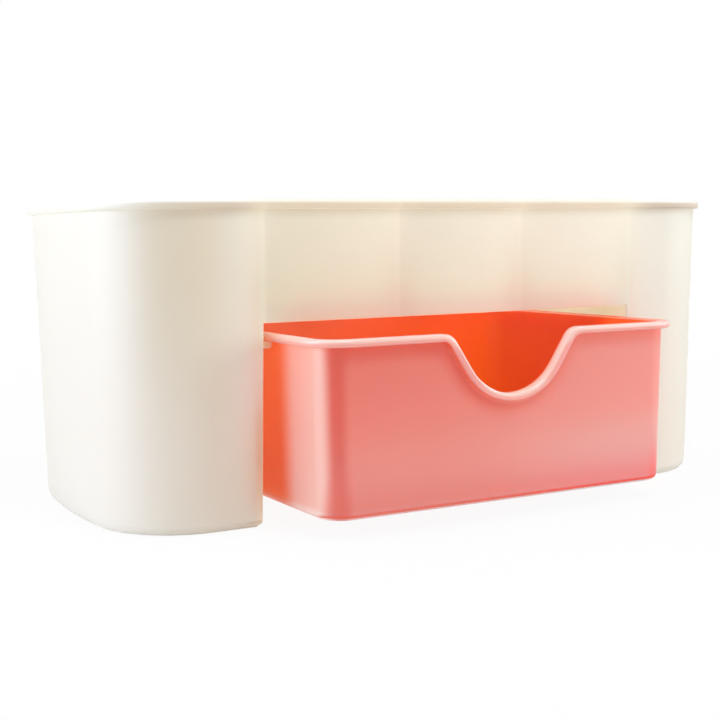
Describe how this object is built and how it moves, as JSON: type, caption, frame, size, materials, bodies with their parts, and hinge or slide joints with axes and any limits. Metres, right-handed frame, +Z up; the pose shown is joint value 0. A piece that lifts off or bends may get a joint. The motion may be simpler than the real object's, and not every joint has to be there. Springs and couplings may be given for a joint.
{
  "type": "nail polish organizer",
  "caption": "Long rounded desktop organizer with tall open end bins, a raised divided tray between them and a pull-out drawer with a finger notch hung under the tray.",
  "frame": {"origin": "bottom centre of the whole object's box on the table, with the drawer standing out as pictured", "axes": "+X along the front from the left tower to the right one, +Y from the front towards the back, +Z up from the table; the drawer pulls out along -Y"},
  "size_m": [0.2266, 0.1338, 0.094],
  "materials": {
    "housing_plastic": "satin, faintly translucent cream white",
    "drawer_plastic": "satin gloss coral pink"
  },
  "bodies": {
    "housing": {"housing": "housing_plastic"},
    "drawer": {"drawer": "drawer_plastic"}
  },
  "joints": [
    {"name": "drawer_slide", "type": "slide", "parent": "housing", "child": "drawer", "axis": [0, -1, 0], "range_m": [-0.03, 0.055]}
  ]
}
